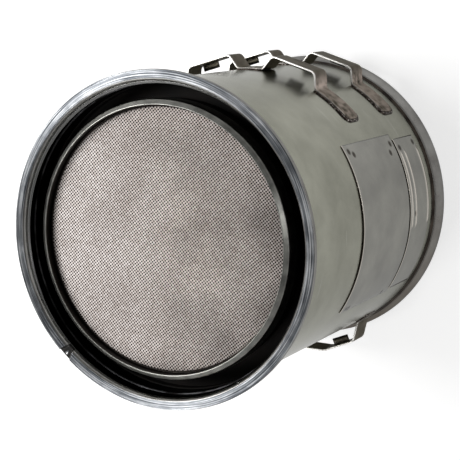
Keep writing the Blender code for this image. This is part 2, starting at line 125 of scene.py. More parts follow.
def honeycomb_half(face_z, up):
    """Points, faces and finish numbers of the half block behind one face.

    Cell (i, j) is the square whose corners are (i, j) and (i + 1, j + 1) pitches. It is kept
    where its farthest corner is inside the radius, and is a pit where i + j is odd: its rim is
    the cell shrunk by half a wall, and its floor lies one pit depth below. An edge with no kept
    cell beyond it is joined to the circle along its own radii.
    """
    reach = int(BLOCK_RADIUS / CELL_PITCH) + 2
    span = 2 * reach + 1
    steps = np.arange(-reach, reach)
    i, j = np.meshgrid(steps, steps, indexing="ij")
    corner = np.hypot(np.maximum(abs(i), abs(i + 1)), np.maximum(abs(j), abs(j + 1)))
    kept = corner * CELL_PITCH < BLOCK_RADIUS - 0.2 * CELL_PITCH

    lines = np.arange(-reach, reach + 1)
    nodes = np.stack(np.meshgrid(lines, lines, indexing="ij"), -1).reshape(-1, 2) * CELL_PITCH
    radii = np.maximum(np.linalg.norm(nodes, axis=1, keepdims=True), 1e-9)
    rim = nodes / radii * BLOCK_RADIUS
    number = np.arange(span * span).reshape(span, span)
    around = np.stack([number[:-1, :-1], number[1:, :-1], number[1:, 1:], number[:-1, 1:]], -1)

    plugged = around[kept & ((i + j) % 2 == 0)]
    mouths = around[kept & ((i + j) % 2 == 1)]
    middle = nodes[mouths].mean(1, keepdims=True)
    mouth_xy = middle + (nodes[mouths] - middle) * (1 - CELL_WALL / CELL_PITCH)
    mouth_top = 3 * span * span + 1 + np.arange(mouths.size).reshape(-1, 4)
    mouth_floor = mouth_top + mouths.size

    heights = (0.0, 0.0, abs(face_z - BLOCK_MIDDLE))
    layers = [np.column_stack([xy, np.full(len(xy), face_z - up * depth)])
              for xy, depth in zip((nodes, rim, rim), heights)]
    layers.append(np.array([[0.0, 0.0, BLOCK_MIDDLE]]))
    flat = mouth_xy.reshape(-1, 2)
    for depth in (0.0, PIT_DEPTH):
        layers.append(np.column_stack([flat, np.full(len(flat), face_z - up * depth)]))
    points = np.concatenate(layers)

    ahead = (1, 2, 3, 0)
    frames = np.stack([mouths, mouths[:, ahead], mouth_top[:, ahead], mouth_top], -1)
    walls = np.stack([mouth_top, mouth_top[:, ahead], mouth_floor[:, ahead], mouth_floor], -1)

    padded = np.pad(kept, 1)
    beyond = (padded[1:-1, :-2], padded[2:, 1:-1], padded[1:-1, 2:], padded[:-2, 1:-1])
    edges = np.concatenate([around[kept & ~there][:, [side, (side + 1) % 4]]
                            for side, there in enumerate(beyond)])
    a, b = edges.T
    ring, low = span * span, 2 * span * span
    border = np.stack([b, a, a + ring, b + ring], -1)
    skirt = np.stack([b + ring, a + ring, a + low, b + low], -1)
    back = np.stack([b + low, a + low, np.full(len(a), 3 * span * span)], -1)

    groups = [plugged, frames.reshape(-1, 4), border, skirt, back, walls.reshape(-1, 4),
              mouth_floor]
    finish_numbers = np.repeat([0, 0, 0, 0, 0, 1, 1], [len(group) for group in groups])
    used, renumbered = np.unique(np.concatenate([group.ravel() for group in groups]),
                                 return_inverse=True)
    faces, start = [], 0
    for group in groups:
        faces.extend(renumbered[start:start + group.size].reshape(group.shape).tolist())
        start += group.size
    return points[used], faces, finish_numbers


# Cordierite, fired and bare: matte, pinkish white, greyer in patches where soot has settled, darker
# towards the +X side, dark along the round edge with soot and painted shade of the ring's lip, and
# a little different from cell to cell
cordierite, tree, shader, place = start_finish("fired_cordierite", "D8CCC6", 0.95, 0.0)
shader["Specular IOR Level"].default_value = 0.2
cell = add_node(tree, "ShaderNodeVectorMath", {0: place, 1: (CELL_PITCH,) * 3}, operation="DIVIDE")
cell = add_node(tree, "ShaderNodeVectorMath", {0: cell}, operation="FLOOR")
tone = add_node(tree, "ShaderNodeTexWhiteNoise", {"Vector": cell}, noise_dimensions="2D")
patches = add_node(tree, "ShaderNodeTexNoise", {"Vector": place, "Scale": 1 / 0.06, "Detail": 2.0,
                                                "Roughness": 0.4})
# Darker towards the +X side: the soot depth is raised by up to 0.3 at -X and lowered by as much at
# +X
across = add_node(tree, "ShaderNodeSeparateXYZ", {0: place}, "X")
slant = add_node(tree, "ShaderNodeMapRange", {0: across, 1: -0.13, 2: 0.13, 3: 0.3, 4: -0.3})
mean = add_node(tree, "ShaderNodeMath", {0: slant, 1: 0.2}, operation="ADD")
depth = add_node(tree, "ShaderNodeMath", {0: patches, 1: 0.6, 2: mean}, operation="MULTIPLY_ADD")
soot = add_node(tree, "ShaderNodeValToRGB", {"Fac": depth},
                stops=((0.15, "A19A96"), (0.5, "E0D6D1"), (0.8, "FFF7F3")))
cells = add_node(tree, "ShaderNodeValToRGB", {"Fac": tone},
                 stops=((0.0, "DCD8D5"), (1.0, "FFFFFF")))
mixed = add_node(tree, "ShaderNodeMix", {0: 1.0, 6: soot, 7: cells}, data_type="RGBA",
                 blend_type="MULTIPLY")
# Painted shade of the ring's lip, together with soot: the block's outer 1.4 mm is dark, fading over
# 1.4 mm more
low, high = EDGE_SOOT_AND_SHADE_RADII
inside_edge = add_node(tree, "ShaderNodeMapRange", {0: axis_distance(tree, place), 1: low,
                                                    2: high, 3: 1.0, 4: 0.0})
ceramic = add_node(tree, "ShaderNodeMix", {0: inside_edge, 6: "2A2522", 7: mixed},
                   data_type="RGBA")
tree.links.new(ceramic, shader["Base Color"])
grain = add_node(tree, "ShaderNodeTexNoise", {"Vector": place, "Scale": 1 / 0.0004, "Detail": 2.0})
bump = add_node(tree, "ShaderNodeBump", {"Height": grain, "Strength": 0.4, "Distance": 0.0001})
tree.links.new(bump, shader["Normal"])

# Channel walls, coated with soot: dark brown, with no gloss
channel_soot, tree, shader, place = start_finish("sooted_channel_wall", "14100F", 1.0, 0.0)
shader["Specular IOR Level"].default_value = 0.1
patches = add_node(tree, "ShaderNodeTexNoise", {"Vector": place, "Scale": 1 / 0.03, "Detail": 3.0})
soot = add_node(tree, "ShaderNodeValToRGB", {"Fac": patches},
                stops=((0.3, "0B0908"), (0.7, "1D1815")))
tree.links.new(soot, shader["Base Color"])

for end, (face_z, up) in BLOCK_FACES.items():
    points, faces, finish_numbers = honeycomb_half(face_z, up)
    half = make_piece(end + "_honeycomb", points, faces, (cordierite, channel_soot),
                      finish_numbers, smooth=False)
    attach(half, "root")
    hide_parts("filter_block")

# Retaining rings. Stainless sheet folded over each end of the inner can: a lip against the
# block, a nose that slopes from 4 to 7 mm below the flange's face, and a skirt over the can.
# Plain pressed sheet with a dull grey scale on it.
RING_OUTLINE = ((0.1348, 0.0152, 0.0003), (0.1348, 0.0052, 0.0006), (0.1352, 0.0042, 0.0004),
                (0.1358, 0.0040, 0.0005), (0.1403, 0.0070, 0.0008), (0.1410, 0.0100, 0.0010),
                (0.1410, 0.0240, 0.0003), (0.1395, 0.0240, 0.0003), (0.1395, 0.0080, 0.0006),
                (0.1363, 0.0080, 0.0006), (0.1363, 0.0152, 0.0003))
LIP_SOOT_AND_SHADE_RADII = (0.1349, 0.1351)
INLET_TOP = 0.368
TURNS = np.linspace(0.0, 360.0, 180, endpoint=False)


def rounded_outline(corners, steps=4, hold=0.0004):
    """A closed outline from (x, y, round) corners.

    Each corner C becomes the curve (1 - s)^2 F + 2 s (1 - s) C + s^2 L from F, `round` before it,
    to L, `round` after it. A point just outside each keeps the flats flat in smooth shading.
    """
    corners = np.array(corners, float)
    here, reach = corners[:, None, :2], corners[:, None, 2:]
    sides = [np.roll(here, turn, 0) - here for turn in (1, -1)]
    lengths = [np.linalg.norm(side, axis=2, keepdims=True) for side in sides]
    rounds = [np.minimum(reach, 0.42 * length) for length in lengths]
    holds = [np.minimum(r + hold, 0.48 * length) for r, length in zip(rounds, lengths)]
    first, last = [here + side / length * r for side, length, r in zip(sides, lengths, rounds)]
    before, after = [here + side / length * h for side, length, h in zip(sides, lengths, holds)]
    s = np.linspace(0.0, 1.0, steps + 1)[None, :, None]
    curve = (1 - s) ** 2 * first + 2 * s * (1 - s) * here + s ** 2 * last
    return np.concatenate([before, curve, after], 1).reshape(-1, 2)


def net_faces(rows, columns, closed):
    """Quads of a net of points. Its columns close on themselves, and its rows too if closed."""
    number = np.arange(rows * columns).reshape(rows, columns)
    ahead = np.roll(number, -1, 0)
    if not closed:
        number, ahead = number[:-1], ahead[:-1]
    quads = np.stack([number, np.roll(number, -1, 1), np.roll(ahead, -1, 1), ahead], -1)
    return quads.reshape(-1, 4)


def turned_points(outline, angles):
    """Each outline point (r, z) turned to (r cos a, r sin a, z), a row for each angle a."""
    a = np.radians(angles)[:, None]
    r, z = outline.T
    return np.stack([r * np.cos(a), r * np.sin(a), z + 0.0 * a], -1)


def end_height(end, outline):
    """An outline's depths, measured in from that end's face, as heights."""
    z = outline[:, 1]
    return np.column_stack([outline[:, 0], INLET_TOP - z if end == "inlet" else z])


# Stainless sheet with scale: mid grey and dull, with soft clouds and fine drawing lines round the
# ring, drawn 0.6 mm apart so that they show. Its lip is black down to the block, soot together with
# painted shade
ring_steel, tree, shader, place = start_finish("scaled_stainless_sheet", "8A8A88", 0.4, 1.0)
clouds = add_node(tree, "ShaderNodeTexNoise", {"Vector": place, "Scale": 1 / 0.012, "Detail": 6.0})
scale = add_node(tree, "ShaderNodeValToRGB", {"Fac": clouds},
                 stops=((0.3, "7A7A76"), (0.7, "A8A8A2")))
radius = axis_distance(tree, place)
# Soot together with painted shade: the lip's inner wall is near black
low, high = LIP_SOOT_AND_SHADE_RADII
bare = add_node(tree, "ShaderNodeMapRange", {0: radius, 1: low, 2: high})
sheet = add_node(tree, "ShaderNodeMix", {0: bare, 6: "16120F", 7: scale}, data_type="RGBA")
tree.links.new(sheet, shader["Base Color"])
dull = add_node(tree, "ShaderNodeMapRange", {0: clouds, 3: 0.24, 4: 0.36})
tree.links.new(dull, shader["Roughness"])
lines = add_node(tree, "ShaderNodeTexNoise", {"W": radius, "Scale": 1 / 0.0006, "Detail": 2.0},
                 noise_dimensions="1D")
bump = add_node(tree, "ShaderNodeBump", {"Height": lines, "Strength": 0.12, "Distance": 0.0002})
tree.links.new(bump, shader["Normal"])

for end in ("inlet", "outlet"):
    points = turned_points(end_height(end, rounded_outline(RING_OUTLINE)), TURNS)
    piece = make_piece(end + "_ring_pressing", points.reshape(-1, 3),
                       net_faces(*points.shape[:2], True), (ring_steel,))
    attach(piece, "root")
    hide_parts(end + "_retaining_ring")

# Clamp flanges. Turned steel rings with a wide round bore edge, a flat face, and a sloped back
# that the V-shaped clamp grips. The tool left rings round the face, which has since been
# handled and nicked. The inlet's has a milled notch with a small slanted hole in its floor.
BORE_RADIUS = 0.1587
NECK_RADIUS = 0.1609
RIM_RADII = {"inlet": 0.170, "outlet": 0.1656}
NOTCH_ANGLE = -126.5
NOTCH_WIDTHS = (0.0065, 0.016)
NOTCH_DEPTH = 0.0025
NOTCH_DIRT = "363534"
NOTCH_STEPS = np.array([-6, -5, -4, -3.4, -3.02, -3, -2, -1, 0, 1, 2, 3, 3.02, 3.4, 4, 5, 6])
HOLE_INSET, HOLE_WIDTH, HOLE_LEAN = 0.0027, 0.0020, 34.0
DRILL_ENDS = (-0.008, 0.012)


def flange_outline(rim):
    """The section as (r, depth) corners: bore, round bore edge, rim, sloped back, neck."""
    return rounded_outline((
        (BORE_RADIUS, 0.0180, 0.0003), (BORE_RADIUS, 0.0, 0.38 * (rim - BORE_RADIUS)),
        (rim, 0.0, 0.0014), (rim, 0.0058, 0.0022),
        (NECK_RADIUS, 0.0142, 0.0014), (NECK_RADIUS, 0.0180, 0.0004)))


def notched(outline, rim):
    """The ring with its notch, as turned points whose columns follow the notch's two sides.

    A notch step t from -3 to 3 lies in the notch, at t / 3 of half its width at that radius;
    from there to 6 it blends into a plain angle of t degrees. In the notch, whatever is higher
    than the floor comes down to it.
    """
    t = NOTCH_STEPS[:, None]
    r, z = outline.T
    slope = (NOTCH_WIDTHS[1] - NOTCH_WIDTHS[0]) / (rim - BORE_RADIUS)
    half = 0.5 * (NOTCH_WIDTHS[0] + slope * (r - BORE_RADIUS))
    share = np.clip((abs(t) - 3.0) / 3.0, 0.0, 1.0)
    across = np.where(abs(t) <= 3.0, half * abs(t) / 3.0,
                      half * (1.0 - share) + r * math.sin(math.radians(6.0)) * share)
    near = np.radians(NOTCH_ANGLE) + np.sign(t) * np.arcsin(across / r)
    far = np.radians(NOTCH_ANGLE + np.linspace(6.0, 354.0, 175)[1:-1])[:, None] + 0.0 * r
    a = np.concatenate([near, far])
    height = z + 0.0 * a
    low = np.flatnonzero(abs(NOTCH_STEPS) <= 3.0)
    height[low] = np.minimum(height[low], INLET_TOP - NOTCH_DEPTH)
    return np.stack([r * np.cos(a), r * np.sin(a), height], -1)


def mark_points(piece, name, values):
    """Gives each point of a piece a number that its material reads by name."""
    mark = piece.data.attributes.new(name, "FLOAT", "POINT")
    mark.data.foreach_set("value", np.asarray(values, np.float32).ravel())


def pierce_notch(flange, rim, finish):
    """Cuts a square hole through the notch, which leans outwards on its way down."""
    turn, lean = math.radians(NOTCH_ANGLE), math.radians(HOLE_LEAN)
    out, side, up = np.array([[math.cos(turn), math.sin(turn), 0.0],
                              [-math.sin(turn), math.cos(turn), 0.0], [0.0, 0.0, 1.0]])
    along = out * math.sin(lean) - up * math.cos(lean)
    across = out * math.cos(lean) + up * math.sin(lean)
    mouth = out * (rim - HOLE_INSET) + up * (INLET_TOP - NOTCH_DEPTH)
    corners = [mouth + along * a + (across * b + side * c) * 0.5 * HOLE_WIDTH
               for a in DRILL_ENDS for b, c in ((-1, -1), (1, -1), (1, 1), (-1, 1))]
    faces = [(0, 1, 2, 3), (7, 6, 5, 4), (0, 4, 5, 1), (1, 5, 6, 2), (2, 6, 7, 3), (3, 7, 4, 0)]
    drill = make_piece("drill", np.array(corners), faces, (finish,), smooth=False)
    hole = flange.modifiers.new("hole", "BOOLEAN")
    hole.operation, hole.solver, hole.object = "DIFFERENCE", "EXACT", drill
    hole.material_mode = "TRANSFER"
    whole = flange.data
    pierced = flange.evaluated_get(bpy.context.evaluated_depsgraph_get())
    flange.data = bpy.data.meshes.new_from_object(pierced)
    flange.modifiers.clear()
    bpy.data.objects.remove(drill)
    bpy.data.meshes.remove(whole)


# Turned carbon steel: grey with a blue cast. Its tool rings, 0.9 mm apart, spread the light
# outwards and inwards, so it is glossier along them; wear and nicks break them up
turned_steel, tree, shader, place = start_finish("turned_carbon_steel", "8E9196", 0.45, 1.0)
shader["Anisotropic"].default_value = 0.8
shader["Anisotropic Rotation"].default_value = 0.25
round_way = add_node(tree, "ShaderNodeTangent", {}, direction_type="RADIAL", axis="Z")
tree.links.new(round_way, shader["Tangent"])
wear = add_node(tree, "ShaderNodeTexNoise", {"Vector": place, "Scale": 1 / 0.02, "Detail": 6.0})
flat = add_node(tree, "ShaderNodeVectorMath", {0: place, 1: (1.0, 1.0, 0.0)}, operation="MULTIPLY")
turned = add_node(tree, "ShaderNodeVectorMath", {0: flat}, operation="NORMALIZE")
turned = add_node(tree, "ShaderNodeVectorMath", {0: turned, 1: (2.5, 2.5, 0.0)},
                  operation="MULTIPLY")
number = add_node(tree, "ShaderNodeMath", {0: axis_distance(tree, place), 1: 1 / 0.0009},
                  operation="MULTIPLY")
number = add_node(tree, "ShaderNodeCombineXYZ", {"Z": number})
turned = add_node(tree, "ShaderNodeVectorMath", {0: turned, 1: number}, operation="ADD")
rings = add_node(tree, "ShaderNodeTexNoise", {"Vector": turned, "Scale": 1.0, "Detail": 2.0})
paleness = add_node(tree, "ShaderNodeMath", {0: wear, 1: 0.35, 2: rings}, operation="MULTIPLY_ADD")
steel = add_node(tree, "ShaderNodeValToRGB", {"Fac": paleness},
                 stops=((0.5, "3A3D41"), (0.68, "74777B"), (0.86, "C2C4C6")))
in_notch = add_node(tree, "ShaderNodeAttribute", {}, "Fac", attribute_name="notch")
dirty = add_node(tree, "ShaderNodeMix", {0: in_notch, 6: steel, 7: NOTCH_DIRT}, data_type="RGBA")
tree.links.new(dirty, shader["Base Color"])
dull = add_node(tree, "ShaderNodeMapRange", {0: wear, 3: 0.4, 4: 0.5})
tree.links.new(dull, shader["Roughness"])
bump = add_node(tree, "ShaderNodeBump", {"Height": rings, "Strength": 0.7, "Distance": 0.0004})
tree.links.new(bump, shader["Normal"])

# Bore edge, rim and back, turned smooth: neutral grey and even, with a pale painted highlight on
# the bore's corner on the -X side. Painted shade, brown-grey, lies on the -Y side of the outlet
# flange
BORE_HIGHLIGHT_RADII = (0.1589, 0.1594)
smooth_steel, tree, shader, place = start_finish("smooth_turned_steel", "A3A29F", 0.3, 1.0)
shader["Specular Tint"].default_value = hex_colour("C4C4C4")
wear = add_node(tree, "ShaderNodeTexNoise", {"Vector": place, "Scale": 1 / 0.03, "Detail": 6.0})
sides = add_node(tree, "ShaderNodeValToRGB", {"Fac": wear},
                 stops=((0.3, "74726F"), (0.7, "959491")))
x, y, z = add_node(tree, "ShaderNodeSeparateXYZ", {0: place}).node.outputs
# Painted highlight: the bore's corner turns pale on the -X side
left = add_node(tree, "ShaderNodeMapRange", {0: x, 1: -0.05, 2: 0.03, 3: 1.0, 4: 0.0})
low, high = BORE_HIGHLIGHT_RADII
corner = add_node(tree, "ShaderNodeMapRange", {0: axis_distance(tree, place), 1: low, 2: high,
                                               3: 1.0, 4: 0.0})
painted_highlight = add_node(tree, "ShaderNodeMath", {0: corner, 1: left}, operation="MULTIPLY")
highlighted = add_node(tree, "ShaderNodeMix", {0: painted_highlight, 6: sides, 7: "E4E4E2"}, data_type="RGBA")
# Painted shade: the outlet flange turns brown-grey towards its -Y side
lower = add_node(tree, "ShaderNodeMapRange", {0: y, 1: 0.04, 2: -0.13, 3: 0.0, 4: 0.75})
outlet = add_node(tree, "ShaderNodeMath", {0: z, 1: 0.1}, operation="LESS_THAN")
low_shade = add_node(tree, "ShaderNodeMath", {0: lower, 1: outlet}, operation="MULTIPLY")
shaded = add_node(tree, "ShaderNodeMix", {0: low_shade, 6: highlighted, 7: "5E564C"}, data_type="RGBA")
in_notch = add_node(tree, "ShaderNodeAttribute", {}, "Fac", attribute_name="notch")
dirty = add_node(tree, "ShaderNodeMix", {0: in_notch, 6: shaded, 7: NOTCH_DIRT}, data_type="RGBA")
tree.links.new(dirty, shader["Base Color"])
dull = add_node(tree, "ShaderNodeMapRange", {0: wear, 3: 0.22, 4: 0.36})
tree.links.new(dull, shader["Roughness"])

# The outline has 7 points a corner, so these columns run from the last quarter of the bore
# edge's curve to the middle of the rim's
FACE_COLUMNS = (11, 17)
for end, rim in RIM_RADII.items():
    outline = end_height(end, flange_outline(rim))
    points = notched(outline, rim) if end == "inlet" else turned_points(outline, TURNS)
    column = np.arange(points.shape[1])
    smooth = (column < FACE_COLUMNS[0]) | (column >= FACE_COLUMNS[1])
    piece = make_piece(end + "_flange_turning", points.reshape(-1, 3),
                       net_faces(*points.shape[:2], True), (turned_steel, smooth_steel),
                       np.tile(smooth, len(points)).astype(int))
    dirt = np.zeros(points.shape[:2])
    if end == "inlet":
        dirt[:len(NOTCH_STEPS)][abs(NOTCH_STEPS) < 3.1] = 1.0
    mark_points(piece, "notch", dirt)
    if end == "inlet":
        pierce_notch(piece, rim, smooth_steel)
    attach(piece, "root")
    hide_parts(end + "_flange")

# Outer shell. One stainless sheet rolled into a tube and welded along its length. Its ends
# turn in a little inside the flanges, and one place of the inlet's lip is beaten further in.
# Outside it has thin scratches, brown heat marks round the welds, painted shade and painted
# reflection of the straps' humps, and painted shade by the outlet flange, both laid on with the
# heat marks.
SHELL_RADIUS = 0.1584
SHELL_WALL = 0.0015
SHELL_ENDS = (0.0046, 0.3634)
LIP_RUNS = (0.0064, 0.0024)
BEATEN_ANGLE, BEATEN_IN, BEATEN_WIDTH = 125.0, 0.0016, 0.0022
FOOT_LEFT, FOOT_RIGHT = 141.0, 48.0
STRAP_HEIGHTS = {"inlet": 0.155, "outlet": 0.057}
STRAP_HALF_WIDTH = 0.015
WELDED_ANGLES = ((FOOT_RIGHT, 66.0), (123.0, FOOT_LEFT), (89.0, 100.0))
WELDED_ANGLES_BELOW = ((-50.8, -46.5), (-104.0, -93.0))
HEAT_REACH = 0.007
FLANGE_WELD_HEIGHT = 0.016
STRAP_SHADE_ANGLE, STRAP_SHADE_RISE, STRAP_SHADE_SPREAD = 94.0, 0.008, (10.0, 0.026)


def shell_outline():
    """The sheet's section: round lips at both ends and 96 heights up its outer face."""
    corners = []
    for end, way in zip(SHELL_ENDS, (1, -1)):
        lip = [(SHELL_RADIUS - SHELL_WALL, end + way * LIP_RUNS[0], 0.0012),
               (SHELL_RADIUS - SHELL_WALL, end + way * LIP_RUNS[1], 0.0010),
               (SHELL_RADIUS - 0.0004, end, 0.0003), (SHELL_RADIUS, end + way * 0.0002, 0.0002)]
        corners += lip[::way]
    lips = rounded_outline(corners, steps=2)
    heights = np.linspace(SHELL_ENDS[0] + 0.002, SHELL_ENDS[1] - 0.002, 96)
    outside = np.column_stack([np.full_like(heights, SHELL_RADIUS), heights])
    return np.concatenate([lips[:len(lips) // 2], outside, lips[len(lips) // 2:]])


def sheet_distance(points, low_angle, high_angle, middle_z):
    """How far each point of the shell is, along the sheet, from a foot between two angles."""
    angle = np.degrees(np.arctan2(points[:, 1], points[:, 0]))
    round_way = np.maximum(np.maximum(low_angle - angle, angle - high_angle), 0.0)
    up_way = np.maximum(abs(points[:, 2] - middle_z) - STRAP_HALF_WIDTH, 0.0)
    return np.hypot(np.radians(round_way) * SHELL_RADIUS, up_way)


outline = shell_outline()
points = turned_points(outline, TURNS)
beaten = np.exp(-((outline[:, 1] - SHELL_ENDS[1] + LIP_RUNS[1]) / BEATEN_WIDTH) ** 2)
beaten *= BEATEN_IN * (outline[:, 0] < SHELL_RADIUS - 0.001)
beaten = beaten * np.maximum(np.cos(np.radians(TURNS - BEATEN_ANGLE)), 0.0)[:, None]
points[..., :2] *= (1.0 - beaten / SHELL_RADIUS)[..., None]
points = points.reshape(-1, 3)

feet = [(*angles, z) for z in STRAP_HEIGHTS.values() for angles in WELDED_ANGLES]
feet += [(*angles, STRAP_HEIGHTS["outlet"]) for angles in WELDED_ANGLES_BELOW]
away = np.min([sheet_distance(points, *foot) for foot in feet], 0)
# Heat tint behind the outlet flange's weld, which is also painted shade where the shell meets that
# flange
flange_heat_and_shade = 0.45 * np.exp(-((points[:, 2] - FLANGE_WELD_HEIGHT) / HEAT_REACH) ** 2)
shell_heat_and_shade = np.maximum(np.exp(-(away / HEAT_REACH) ** 2), flange_heat_and_shade)
sheet_angle = np.degrees(np.arctan2(points[:, 1], points[:, 0]))
# Painted shade and painted reflection of the straps: a soft dark patch on the shell just above each
# strap, between its humps
for z in STRAP_HEIGHTS.values():
    strap_shade = 0.4 * np.exp(-((sheet_angle - STRAP_SHADE_ANGLE) / STRAP_SHADE_SPREAD[0]) ** 2
                          - ((points[:, 2] - z - STRAP_SHADE_RISE) / STRAP_SHADE_SPREAD[1]) ** 2)
    shell_heat_and_shade = np.maximum(shell_heat_and_shade, strap_shade)

# Mill-finish stainless sheet: satin, grey with a green cast, and a little uneven. Its clouds
# are 60 mm wide, its rolling lines run round the shell, and its scratches are long thin peaks
# of a noise. The inner wall is black with soot from about 2 mm inside its lips, more on one
# side than on the other
SOOT_LEAN = (-0.006, 0.015, 0.0)
SOOT_EDGE = (0.1772, 0.1788)
satin, tree, shader, place = start_finish("mill_finish_stainless", "8A8A82", 0.3, 1.0)
shader["Specular Tint"].default_value = hex_colour("D2D2D2")
clouds = add_node(tree, "ShaderNodeTexNoise", {"Vector": place, "Scale": 1 / 0.06, "Detail": 7.0,
                                               "Roughness": 0.62})
sheet = add_node(tree, "ShaderNodeValToRGB", {"Fac": clouds},
                 stops=((0.3, "8A8A7E"), (0.7, "A6A699")))
drawn = add_node(tree, "ShaderNodeMapping", {"Vector": place, "Rotation": (0.15, 0.1, 0.0),
                                             "Scale": (25.0, 25.0, 500.0)})
streak = add_node(tree, "ShaderNodeTexNoise", {"Vector": drawn, "Scale": 1.0, "Detail": 0.0})
scratch = add_node(tree, "ShaderNodeMapRange", {0: streak, 1: 0.785, 2: 0.84, 3: 0.0, 4: 0.3})
marked = add_node(tree, "ShaderNodeMix", {0: scratch, 6: sheet, 7: "C8C8C2"}, data_type="RGBA")
# Heat tint round the welds, together with painted shade by the straps' humps and by the outlet
# flange
heat = add_node(tree, "ShaderNodeAttribute", {}, "Fac", attribute_name="heat")
uneven = add_node(tree, "ShaderNodeTexNoise", {"Vector": place, "Scale": 1 / 0.006, "Detail": 4.0})
burnt_and_shaded = add_node(tree, "ShaderNodeMath", {0: heat, 1: uneven}, operation="MULTIPLY")
tint = add_node(tree, "ShaderNodeValToRGB", {"Fac": burnt_and_shaded},
                stops=((0.03, "FFFFFF"), (0.22, "8E7B68"), (0.45, "2A2420")))
tinted = add_node(tree, "ShaderNodeMix", {0: 1.0, 6: marked, 7: tint}, data_type="RGBA",
                  blend_type="MULTIPLY")
height = add_node(tree, "ShaderNodeSeparateXYZ", {0: place}, "Z")
from_middle = add_node(tree, "ShaderNodeMath", {0: height, 1: BLOCK_MIDDLE}, operation="SUBTRACT")
from_middle = add_node(tree, "ShaderNodeMath", {0: from_middle}, operation="ABSOLUTE")
leaning = add_node(tree, "ShaderNodeVectorMath", {0: place, 1: SOOT_LEAN}, "Value",
                   operation="DOT_PRODUCT")
leaning = add_node(tree, "ShaderNodeMath", {0: leaning, 1: from_middle}, operation="ADD")
low, high = SOOT_EDGE
clean = add_node(tree, "ShaderNodeMapRange", {0: leaning, 1: low, 2: high})
inside = add_node(tree, "ShaderNodeMix", {0: clean, 6: "0A0909", 7: "8C8C8B"}, data_type="RGBA")
outside = add_node(tree, "ShaderNodeMath", {0: axis_distance(tree, place),
                                            1: SHELL_RADIUS - 0.0002}, operation="GREATER_THAN")
coat = add_node(tree, "ShaderNodeMix", {0: outside, 6: inside, 7: tinted}, data_type="RGBA")
tree.links.new(coat, shader["Base Color"])
dull = add_node(tree, "ShaderNodeMapRange", {0: clouds, 3: 0.17, 4: 0.3})
tree.links.new(dull, shader["Roughness"])
waves = add_node(tree, "ShaderNodeTexNoise", {"Vector": place, "Scale": 1 / 0.05, "Detail": 1.0})
bump = add_node(tree, "ShaderNodeBump", {"Height": waves, "Strength": 0.35, "Distance": 0.002})
lined = add_node(tree, "ShaderNodeMapping", {"Vector": place, "Scale": (12.0, 12.0, 1400.0)})
rolled = add_node(tree, "ShaderNodeTexNoise", {"Vector": lined, "Scale": 1.0, "Detail": 3.0})
fine = add_node(tree, "ShaderNodeBump", {"Height": rolled, "Strength": 0.12, "Distance": 0.0002,
                                         "Normal": bump})
tree.links.new(fine, shader["Normal"])

shell = make_piece("shell_sheet", points, net_faces(len(TURNS), len(outline), True), (satin,))
mark_points(shell, "heat", shell_heat_and_shade)
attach(shell, "root")
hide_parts("outer_shell")

# Recess beads. A round bead is rolled into the shell's inner wall at each end, and shows as a
# faint grey line under the soot.
BEAD_DEPTH = 0.0165
RECESS_BEAD = ((0.1570, BEAD_DEPTH - 0.0016, 0.0004), (0.1555, BEAD_DEPTH - 0.0008, 0.0006),
               (0.1555, BEAD_DEPTH + 0.0008, 0.0006), (0.1570, BEAD_DEPTH + 0.0016, 0.0004))

# Soot rubbed to a faint shine on steel: near black and half glossy
rubbed_soot, tree, shader, place = start_finish("rubbed_soot_on_steel", "2E2E30", 0.35, 1.0)
clouds = add_node(tree, "ShaderNodeTexNoise", {"Vector": place, "Scale": 1 / 0.02, "Detail": 5.0})
soot = add_node(tree, "ShaderNodeValToRGB", {"Fac": clouds},
                stops=((0.4, "0E0D0D"), (0.65, "4A4A4C")))
tree.links.new(soot, shader["Base Color"])
for end in ("inlet", "outlet"):
    points = turned_points(end_height(end, rounded_outline(RECESS_BEAD)), TURNS)
    piece = make_piece(end + "_recess_bead", points.reshape(-1, 3),
                       net_faces(*points.shape[:2], True), (rubbed_soot,))
    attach(piece, "root")

# Cover plate and marking plate. Thin glossy stainless plates, bent to the shell and spot-welded at
# their corners, so that they stand off it a little in the middle. The marking plate has three
# pressed beads across it, and these and both upper edges carry a pale painted highlight.
PLATE_SHEET = 0.001
PLATE_BULGE = 0.0007
PLATE_BEVEL = 0.0004
COVER = ((38.5, -28.0), (0.096, 0.224))
MARKING = ((36.0, -27.0), (0.036, 0.092))
MARKING_BEADS = (0.087, 0.076, 0.040)
MARKING_BEAD_HEIGHT, MARKING_BEAD_WIDTH = 0.001, 0.0016
BEAD_ANGLES = (31.0, -1.0)


